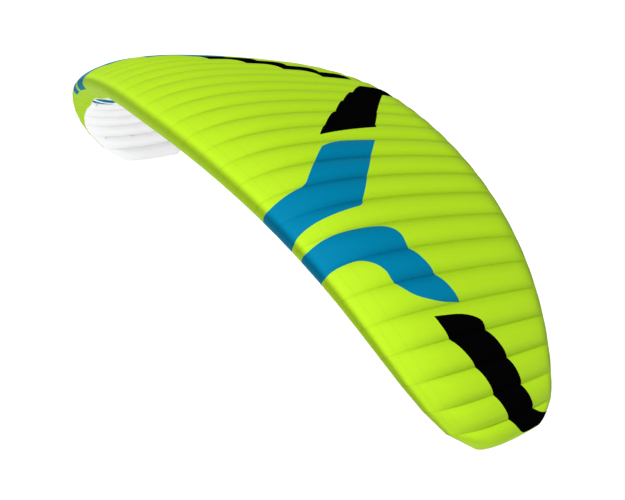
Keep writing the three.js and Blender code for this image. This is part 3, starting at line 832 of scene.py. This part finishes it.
def hem_shell(cloth, cell):
    """The trailing edge's folded hem: a round lip from the upper cloth to the lower."""
    turns, u_values = np.linspace(0, math.pi, HEM_STEPS + 1), np.linspace(0, 1, U_STEPS + 1)
    rows = []
    for u in u_values:
        top, low = (on_cloth(cell, u, q)[0] for q in (1.0, -1.0))
        before = on_cloth(cell, u, HEM_FROM)[0]
        middle, half = (top + low) / 2, (top - low) / 2
        aft = np.cross(half, np.cross(middle - before, half))
        aft *= np.linalg.norm(half) / np.linalg.norm(aft)
        rows.append([(middle + half * math.cos(t) + aft * math.sin(t), middle) for t in turns])
    outer = np.array([p for row in rows for p, _ in row])
    centre = np.array([m for row in rows for _, m in row])
    normal = outer - centre
    normal /= np.linalg.norm(normal, axis=1, keepdims=True)
    faces = grid_faces(len(rows), len(turns))
    u = np.repeat(u_values, len(turns))
    width = cell_width(cell, np.ones(len(u)))
    cloth_uv = np.stack([(u - 0.5) * width, np.tile(turns, len(rows)) * EDGE_HALF], -1)
    seam_uv = np.stack([np.minimum(u, 1 - u) * width, cloth_uv[:, 1]], -1)
    inner = outer - normal * cloth.thickness
    cloth.add_shell(outer, inner, normal, faces, [0] * len(faces), cloth_uv, seam_uv)


def add_hem(cloth, section):
    """The hem belongs to the top cloth of the cells without brakes."""
    _, start, end = next(s for s in SECTIONS if s[0] == section)
    for cell in range(start, end):
        if cell not in BRAKED:
            hem_shell(cloth, cell)


# ---- Brake flaps: each braked cell's trailing edge
# Shares of the chord and depths under the fixed cloth, of a flap's turned-in upper edge and of
# the lap where its lower cloth slides inside
FLANGE = ((0.788, 0.010), (0.792, 0.0065), (0.796, 0.003))
LAP = ((LAP_FROM, 0.0025), (0.775, 0.0025), (LAP_COVER, 0.0025), (0.793, 0.0012))
BLEND_FROM, BLEND_TO = 0.03, 0.97  # of the way across a flap
BRAKE_LOOP_ROOT, LINE_LOOP_ROOT = 0.001, 0.014  # how far the webbing goes on inside the cloth


def edge_weights(number):
    """How much of its own angle a flap's outer and inner edge turn, so that edges meet."""
    shares = (0, *BRAKE_SHARES, 0)
    own = shares[number]
    return min(shares[number - 1] / own, 1), min(shares[number + 1] / own, 1)


def blend_place(weight):
    """Where along a smooth step the weight is reached."""
    return 0.5 - math.sin(math.asin(1 - 2 * weight) / 3)


def flap_blend(cell, hand, number):
    """Two points across a flap between which its cloth would turn from the fixed wing's place to
    the flap's, or None where the whole cell rides on the flap. Only whether it is None is used."""
    outer_weight, inner_weight = edge_weights(number)
    if outer_weight == inner_weight == 1:
        return None
    soft_edge = 0 if outer_weight < 1 else 1
    weight = min(outer_weight, inner_weight)
    side = soft_edge if hand == "left" else 1 - soft_edge
    (a, b), other = (
        [on_rib(cell + at, q)[0] for q in (root_of(HINGE_AT), 1.0)] for at in (side, 1 - side)
    )
    edge = (b - a) / np.linalg.norm(b - a)
    across = (other[0] + other[1]) / 2 - a
    across -= edge * (across @ edge)
    across /= np.linalg.norm(across)
    full = min((p - a) @ across for p in other) * BLEND_TO
    done = blend_place(weight)
    first = BLEND_FROM * full if weight == 0 else 0.0
    start = first - (full - first) * done / (1 - done)
    return tuple(a + across * start), tuple(a + across * full)


def flap_stations(upper):
    """A flap's chord places, and how deep each lies under the cloth."""
    side = 1 if upper else -1
    rows = [*(FLANGE if upper else LAP), *[(v, 0.0) for v in tail_stations()]]
    return [side * root_of(v) for v, _ in rows], [depth for _, depth in rows]


def build_flaps():
    for cell, (hand, number, _) in BRAKED.items():
        body = f"flap_{hand}_{number}"
        line = flap_blend(cell, hand, number)
        for upper in (True, False):
            name = f"brake_{'top' if upper else 'under'}_{hand}_{number}"
            cloth = Cloth(name, LIME if upper else WHITE)
            cloth.add_grid(cell, *flap_stations(upper))
            if upper:
                hem_shell(cloth, cell)
            piece = cloth.make()
            node = f"brake_flap_{hand}_{number}"
            tell(piece, None, "lime_cloth" if upper else "white_cloth", node)
            join_flap(piece, body, line)
            declare(cloth)
        if number in BRAKE_LOOP_FLAPS:
            _, _, _, up, span = rib_plane(cell + 0.5)
            base = on_cloth(cell, 0.5, -root_of(BRAKE_LOOP_AT))[0]
            loop = line_loop(f"brake_loop_{hand}_{number}", base, span, -up, BRAKE_LOOP_ROOT)
            tell(loop, None, "rib_cloth")
            join_flap(loop, body, line)


def join_flap(piece, body, line):
    if line is None:
        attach(piece, body)
    else:
        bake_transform(piece)


# ---- Webbing loops
LOOP_WIDTH, LOOP_TAPE_THICK = 0.012, 0.0013
LOOP_CENTRE, LOOP_RADIUS = 0.0175, 0.0072
BAR_TACKS = (0.0035, 0.0065)  # below the cloth
BAR_STITCHES, BAR_STITCH = 9, (LOOP_TAPE_THICK * 2.5, 0.0011, 0.0007)
NECK_HALF = LOOP_TAPE_THICK * 0.55  # half the distance between the two layers' middles
NECK_TO, NECK_END, NECK_OPENS = (0.002, 0.006), 0.0085, 1.3
EYE_GAP, EYE_POINTS = 0.42, 26  # radians from the neck's line to the eye's first point
LOOP_SHARP, PLATE_SHARP = 40, 30  # degrees between faces that make an edge sharp


def simple_mesh(name, points, faces, material, smooth=True):
    mesh = bpy.data.meshes.new(name)
    mesh.from_pydata([tuple(p) for p in points], [], [list(f) for f in faces])
    mesh.materials.append(material)
    mesh.polygons.foreach_set("use_smooth", [smooth] * len(faces))
    return placed(name, mesh)


def settled(piece, body, sharp):
    """Puts an edited mesh back with its faces outward and its sharp edges marked."""
    bmesh.ops.recalc_face_normals(body, faces=body.faces)
    body.to_mesh(piece.data)
    body.free()
    piece.data.set_sharp_from_angle(angle=math.radians(sharp))


def ribbon(path, thick, width, out):
    """Closed strip along a flat path of (x, y) points. out gives the 3-D point of x, y, z."""
    path = np.array(path)
    tangent = np.gradient(path, axis=0)
    tangent /= np.linalg.norm(tangent, axis=1, keepdims=True)
    side = np.stack([-tangent[:, 1], tangent[:, 0]], -1) * thick / 2
    points, faces = [], []
    for p, s in zip(path, side):
        points += [out(*(p + s), -width / 2), out(*(p + s), width / 2),
                   out(*(p - s), width / 2), out(*(p - s), -width / 2)]
    for i in range(len(path) - 1):
        a, b = 4 * i, 4 * i + 4
        faces += [(a + k, a + (k + 1) % 4, b + (k + 1) % 4, b + k) for k in range(4)]
    last = 4 * (len(path) - 1)
    return points, [*faces, (3, 2, 1, 0), (last, last + 1, last + 2, last + 3)]


def line_loop(name, base, span, down, root):
    """Doubled webbing that leaves a seam and opens into an eye, with two bar tacks."""
    along = np.cross(span, down)

    def out(x, y, z):
        return base + span * x + down * y + along * z

    eye = [(LOOP_RADIUS * math.sin(t), LOOP_CENTRE - LOOP_RADIUS * math.cos(t))
           for t in np.linspace(EYE_GAP, 2 * math.pi - EYE_GAP, EYE_POINTS)]
    neck = [(NECK_HALF, y) for y in (-root, -root / 2, *NECK_TO)]
    neck.append((NECK_HALF * NECK_OPENS, NECK_END))
    path = [*neck, *eye, *[(-x, y) for x, y in reversed(neck)]]
    points, faces = ribbon(path, LOOP_TAPE_THICK, LOOP_WIDTH, out)
    piece = simple_mesh(name, points, faces, TAPE)
    piece.data.materials.append(LOOP_TAPE)
    body = bmesh.new()
    body.from_mesh(piece.data)
    axes = Matrix([[*v] for v in (span, down, along)]).transposed()
    for at in BAR_TACKS:
        for i in range(BAR_STITCHES):
            where = out(0, at, LOOP_WIDTH * (i - BAR_STITCHES // 2) / (BAR_STITCHES + 1))
            made = bmesh.ops.create_cube(body, size=1.0, matrix=(
                Matrix.Translation(where) @ axes.to_4x4() @ Matrix.Diagonal((*BAR_STITCH, 1))
            ))
            for vert in made["verts"]:
                for face in vert.link_faces:
                    face.material_index = 1
    settled(piece, body, LOOP_SHARP)
    return piece


# ---- Ribs, straps, tip closures and hatches
RIB_INSET, RIB_THICK = 0.0016, 0.0006
RIB_ENDS, BRAKED_RIB_ENDS = (0.96, 0.96), (0.788, 0.71)  # of the upper and the lower edge
BODY_POINTS = 26
PORTS = (0.085, 0.24, 0.33, 0.52, 0.63, 0.73)
PORT_LONG, PORT_HIGH, PORT_RAISED, PORT_POINTS = 0.032, 0.52, 0.25, 24
PORT_CLEAR = 0.05  # of the chord, between a port and the rib's end
STRAP_EDGE, STRAP_HALF, STRAP_HEM_HALF = 0.42, 0.0006, 0.0011  # shares of its width, and metres
STRAP_GAP = 0.01  # in ribs, between a strap's end and the next section
TIP_END = (1.0, 0.999, 0.0004)  # where its edges end, and its inset
TIP_SHIFT, TIP_THICK, TIP_STRAP = 0.0012, 0.0009, (0.02, 1.99)  # straps' reach in ribs
HATCH_CORNER, COVER_CORNER, RIM_CORNER, TAB_CORNER = 0.008, 0.007, 0.005, 0.003  # radii
RIM_WIDTH, TAB_INSIDE, TAB_OUTSIDE, TAB_HALF = 0.005, 0.004, 0.016, 0.008


def profile(rib, tail_upper, tail_lower, inset):
    """A rib's outline as distances along and across the chord."""
    plane = rib_plane(rib)
    along_axis, across_axis = in_plane(plane, 1.0, 0.0), in_plane(plane, 0.0, 1.0)
    upper, lower = (
        [*np.arange(first, NOSE_END, NOSE_STEP),
         *np.sqrt(np.linspace(NOSE_END ** 2, end, BODY_POINTS))]
        for first, end in ((0, tail_upper), (NOSE_STEP, tail_lower))
    )
    places = np.array([*upper, *[-q for q in reversed(lower)]])
    point, normal = on_rib(np.full(len(places), float(rib)), places)
    offset = point - normal * inset - plane[2]
    return np.stack([offset @ along_axis, offset @ across_axis], -1), along_axis, across_axis


def plate(rib, outlines, shift, thick):
    """Points and faces of a flat plate with holes in a rib's plane, shifted along the span."""
    _, _, origin, _, span = rib_plane(rib)
    outline, along, across = outlines[0]
    loops = [outline, *outlines[1:]]
    flat = [Vector((x, y, 0)) for loop in loops for x, y in loop]
    faces = tessellate_polygon([[Vector((x, y, 0)) for x, y in loop] for loop in loops])
    points = []
    for z in (-thick / 2, thick / 2):
        points += [origin + along * p.x + across * p.y + span * (shift + z) for p in flat]
    count, made, start = len(flat), [], 0
    for a, b, c in faces:
        facing = (flat[b] - flat[a]).cross(flat[c] - flat[a]).z * (np.cross(along, across) @ span)
        far, near = (a + count, b + count, c + count), (c, b, a)
        made += [far, near] if facing > 0 else [far[::-1], near[::-1]]
    for loop in loops:
        size = len(loop)
        for i in range(size):
            a, b = start + i, start + (i + 1) % size
            made.append((a, b, b + count, a + count))
        start += size
    return points, made


def ports(rib, tail):
    """Round cross ports that let air pass from cell to cell."""
    chord = float(rib_plane(rib)[0])
    found = []
    for v in PORTS:
        if v > tail - PORT_CLEAR:
            continue
        long, high = PORT_LONG * chord, PORT_HIGH * float(half_height(math.sqrt(v))) * chord
        long = min(long, v * chord * 0.5)
        centre = (v - REFERENCE_SHARE) * chord
        found.append([
            (centre + long * math.cos(t), high * PORT_RAISED + high * math.sin(t))
            for t in np.linspace(0, 2 * math.pi, PORT_POINTS + 1)[:-1]
        ])
    return found


def joined(piece):
    """Joins a piece's shared points, turns its faces outward and marks its sharp edges."""
    body = bmesh.new()
    body.from_mesh(piece.data)
    bmesh.ops.remove_doubles(body, verts=body.verts, dist=1e-6)
    settled(piece, body, PLATE_SHARP)


def box_uv(piece):
    """Cloth and seam coordinates in metres for a piece in a rib's plane."""
    mesh = piece.data
    cloth, seam = mesh.uv_layers.new(name="cloth"), mesh.uv_layers.new(name="seam")
    for loop in mesh.loops:
        co = mesh.vertices[loop.vertex_index].co
        cloth.data[loop.index].uv = (co.y, co.z + co.x)
        seam.data[loop.index].uv = (1.0, co.y)


def plate_piece(name, rib, outlines, shift, thick, material):
    """A plate as a finished piece."""
    piece = simple_mesh(name, *plate(rib, outlines, shift, thick), material)
    joined(piece)
    box_uv(piece)
    return piece


def rib_piece(name, ribs, node):
    """One or more flat ribs with their cross ports, as one piece."""
    points, faces, area = [], [], 0.0
    for rib in ribs:
        from_tip = min(rib, CELLS - rib)
        braked = FIRST_BRAKE_CELL < from_tip < FIRST_BRAKE_CELL + len(BRAKE_SHARES)
        upper, lower = BRAKED_RIB_ENDS if braked else RIB_ENDS
        outline, along, across = profile(rib, upper, lower, RIB_INSET)
        holes = ports(rib, lower)
        more, made = plate(rib, [(outline, along, across), *holes], 0.0, RIB_THICK)
        faces += [[i + len(points) for i in face] for face in made]
        points += more
        area += flat_area(outline) - sum(flat_area(hole) for hole in holes)
    piece = simple_mesh(name, points, faces, RIB_CLOTH)
    joined(piece)
    box_uv(piece)
    long = len(ribs) * float(rib_plane(ribs[0])[0])
    tell(piece, "root", "rib_cloth", node)


def flat_area(outline):
    x, y = np.array(outline).T
    return abs(float(x @ np.roll(y, -1) - y @ np.roll(x, -1))) / 2


def strap_piece(name, ribs, node):
    """Two spanwise straps that run from rib to rib, each with turned edges."""
    points, faces = [], []
    for v in STRAP_AT:
        rows = []
        for rib in ribs:
            plane = rib_plane(rib)
            chord = float(plane[0])
            along = (v - REFERENCE_SHARE) * chord
            across = STRAP_LEVEL * half_height(math.sqrt(v)) * chord
            for dx in (-0.5, -STRAP_EDGE, STRAP_EDGE, 0.5):
                point = plane[2] + in_plane(plane, along + dx * STRAP_WIDTH, across)
                rows.append((point, plane[3], STRAP_HEM_HALF if abs(dx) == 0.5 else STRAP_HALF))
        start = len(points)
        for point, up, half in rows:
            points += [point + up * half, point - up * half]
        for i in range(len(ribs) - 1):
            for j in range(3):
                a, b = start + 2 * (4 * i + j), start + 2 * (4 * i + 4 + j)
                faces += [(a, a + 2, b + 2, b), (a + 1, b + 1, b + 3, a + 3)]
            for j in (0, 3):
                a, b = start + 2 * (4 * i + j), start + 2 * (4 * i + 4 + j)
                faces.append((a, b, b + 1, a + 1))
        for i in (0, len(ribs) - 1):
            for j in range(3):
                a = start + 2 * (4 * i + j)
                faces.append((a, a + 1, a + 3, a + 2))
    piece = simple_mesh(name, points, faces, TAPE, smooth=False)
    joined(piece)
    tell(piece, "root", "rib_cloth", node)


def build_ribs():
    for name, start, end in SECTIONS[1:-1]:
        ribs = list(range(start + 1, end))
        rib_piece(f"ribs_{name}", ribs, f"rib_set_{name}")
        reach = [start + STRAP_GAP, *ribs, end - STRAP_GAP]
        strap_piece(f"straps_{name}", reach, f"rib_set_{name}")
    names = ("outer", "mid", "inner", "root", "root", "inner", "mid", "outer")
    for i, (rib, name) in enumerate(zip(LOAD_RIBS, names)):
        hand = "left" if i < 4 else "right"
        node = f"load_rib_{hand}_{name}"
        rib_piece(f"line_rib_{hand}_{name}", [rib], node)
        _, _, _, up, span = rib_plane(rib)
        for row, v in zip("abc", LOOP_ROWS):
            base = on_rib(rib, -root_of(v))[0]
            loop = line_loop(
                f"line_loop_{row}_{hand}_{name}", base, span, -up, LINE_LOOP_ROOT
            )
            tell(loop, "root", "rib_cloth", node)


def rounded(x0, y0, x1, y1, radius):
    """A rectangle with round corners."""
    corners = [(x1 - radius, y1 - radius, 0), (x0 + radius, y1 - radius, 90),
               (x0 + radius, y0 + radius, 180), (x1 - radius, y0 + radius, 270)]
    return [
        (x + radius * math.cos(math.radians(a + t)), y + radius * math.sin(math.radians(a + t)))
        for x, y, a in corners for t in (0, 30, 60, 90)
    ]


def build_tips():
    for rib, next_rib, outward, hand in ((0, 1, 1, "left"), (CELLS, CELLS - 1, -1, "right")):
        node = f"tip_frame_{hand}"
        plane = rib_plane(rib)
        chord = float(plane[0])
        x0, x1 = (HATCH_FROM - REFERENCE_SHARE) * chord, (HATCH_TO - REFERENCE_SHARE) * chord
        half = HATCH_HALF_HEIGHT
        outline, along, across = profile(rib, *TIP_END)
        hole = rounded(x0, -half, x1, half, HATCH_CORNER)
        outlines = [(outline, along, across), hole]
        end = plate_piece(f"tip_end_{hand}", rib, outlines, -outward * TIP_SHIFT, TIP_THICK, LIME)
        tell(end, "root", "lime_cloth", node)
        flat_area(outline) - flat_area(hole)
        rib_piece(f"rib_beside_tip_{hand}", [next_rib], node)
        ribs = sorted([next_rib, *[rib + outward * reach for reach in TIP_STRAP]])
        strap_piece(f"straps_tip_{hand}", ribs, node)
        build_hatch(rib, outward, hand, (x0, -half, x1, half), along, across)


def build_hatch(rib, outward, hand, hole, along, across):
    """The sand hatch's cover: a hemmed flap with a pull tab, sewn on along its front edge."""
    x0, y0, x1, y1 = hole
    lap = HATCH_LAP
    cover = rounded(x0 - lap, y0 - lap, x1 + lap, y1 + lap, COVER_CORNER)
    inner = lap - RIM_WIDTH
    rim = rounded(x0 - inner, y0 - inner, x1 + inner, y1 + inner, RIM_CORNER)
    tab = rounded(
        x1 + lap - TAB_INSIDE, -TAB_HALF, x1 + lap + TAB_OUTSIDE, TAB_HALF, TAB_CORNER
    )
    shapes = (
        ("cover", [(cover, along, across)], 0.0007, 0.0007, WHITE, "white_cloth"),
        ("hem", [(cover, along, across), rim[::-1]], 0.0012, 0.0005, LIME_SEAM, "lime_cloth"),
        ("tab", [(tab, along, across)], 0.0012, 0.0008, LOOP_TAPE, "rib_cloth"),
    )
    for part, outlines, shift, thick, material, slot in shapes:
        name = f"hatch_{part}_{hand}"
        piece = plate_piece(name, rib, outlines, outward * shift, thick, material)
        tell(piece, f"sand_hatch_{hand}", slot, f"sand_hatch_{hand}")


GAUZE_STEPS, GAUZE_DEPTH = 6, 0.0004


def build_gauze():
    middle = CELLS // 2
    shares = np.linspace(INTAKE_FRONT, INTAKE_BACK, GAUZE_STEPS + 1)
    places = [-math.sqrt(v) for v in shares]
    for hand, start, end in (("left", INTAKE_CELLS[0], middle), ("right", middle, INTAKE_CELLS[1])):
        cloth = Cloth(f"air_intake_{hand}", GAUZE)
        for cell in range(start, end):
            cloth.add_grid(cell, places, [GAUZE_DEPTH] * len(places))
        piece = cloth.make()
        tell(piece, "root", "gauze", f"intake_gauze_{hand}")
        declare(cloth)


# ---- Camera, floor and light
CAMERA_AT = (6.936, -3.918, 2.609)
CAMERA_AZIMUTH, CAMERA_ELEVATION, CAMERA_ROLL = 54.61, 25.28, 5.67  # degrees
CAMERA_LENS, SENSOR_WIDTH = 61.86, 36  # mm
FARTHEST = 1000
FLOOR_BELOW, FLOOR_HALF, FLOOR_SHADE = 13, 250, 0.95
SUNS = (("key", (0.22, -0.5, 0.84), 3.6, 12), ("fill", (0.55, -0.76, 0.35), 1.25, 30))
SKY_FADE = (0.2, 0.55, 0.6, 0.08)  # the sine of the height where the pale walls darken, and how far


def build_camera():
    a, e, r = (math.radians(x) for x in (CAMERA_AZIMUTH, CAMERA_ELEVATION, CAMERA_ROLL))
    back = Vector((math.sin(a) * math.cos(e), -math.cos(a) * math.cos(e), math.sin(e)))
    right = Vector((math.cos(a), math.sin(a), 0))
    up = back.cross(right)
    x = right * math.cos(r) + up * math.sin(r)
    y = up * math.cos(r) - right * math.sin(r)
    camera = placed("camera", bpy.data.cameras.new("camera"))
    camera.matrix_world = Matrix.Translation(CAMERA_AT) @ Matrix([x, y, back]).transposed().to_4x4()
    camera.data.lens, camera.data.sensor_width = CAMERA_LENS, SENSOR_WIDTH
    camera.data.clip_end = FARTHEST
    bpy.context.scene.camera = camera


def sun(name, direction, strength, size):
    lamp = bpy.data.lights.new(name, "SUN")
    lamp.energy = strength
    lamp.angle = math.radians(size)
    holder = placed(name, lamp)
    holder.rotation_mode = "QUATERNION"
    holder.rotation_quaternion = Vector(direction).to_track_quat("Z", "Y")


def build_studio():
    low, _ = cad_box
    mesh = bpy.data.meshes.new("floor")
    corners = [(x * FLOOR_HALF, y * FLOOR_HALF, 0) for x, y in ((-1, -1), (1, -1), (1, 1), (-1, 1))]
    mesh.from_pydata(corners, [], [(0, 1, 2, 3)])
    n = Nodes("pale_floor")
    n.shader.inputs["Base Color"].default_value = (*[FLOOR_SHADE] * 3, 1)
    n.shader.inputs["Roughness"].default_value = 0.9
    n.shader.inputs["Specular IOR Level"].default_value = 0
    mesh.materials.append(n.material)
    floor = placed("floor", mesh)
    floor.location.z = low.z - FLOOR_BELOW
    world = bpy.data.worlds.new("studio")
    bpy.context.scene.world = world
    world.use_nodes = True
    tree = world.node_tree
    background = tree.nodes["Background"]
    background.inputs["Color"].default_value = (1, 1, 1, 1)
    towards = tree.nodes.new("ShaderNodeSeparateXYZ")
    tree.links.new(tree.nodes.new("ShaderNodeTexCoord").outputs["Generated"], towards.inputs[0])
    fade = tree.nodes.new("ShaderNodeMapRange")
    fade.interpolation_type = "SMOOTHSTEP"
    for socket, value in zip(("From Min", "From Max", "To Min", "To Max"), SKY_FADE):
        fade.inputs[socket].default_value = value
    tree.links.new(towards.outputs[2], fade.inputs["Value"])
    tree.links.new(fade.outputs[0], background.inputs["Strength"])
    for lamp in SUNS:
        sun(*lamp)
    bpy.context.scene.view_settings.view_transform = "Standard"


build_camera()
build_studio()
build_skins()
build_flaps()
build_gauze()
build_ribs()
build_tips()
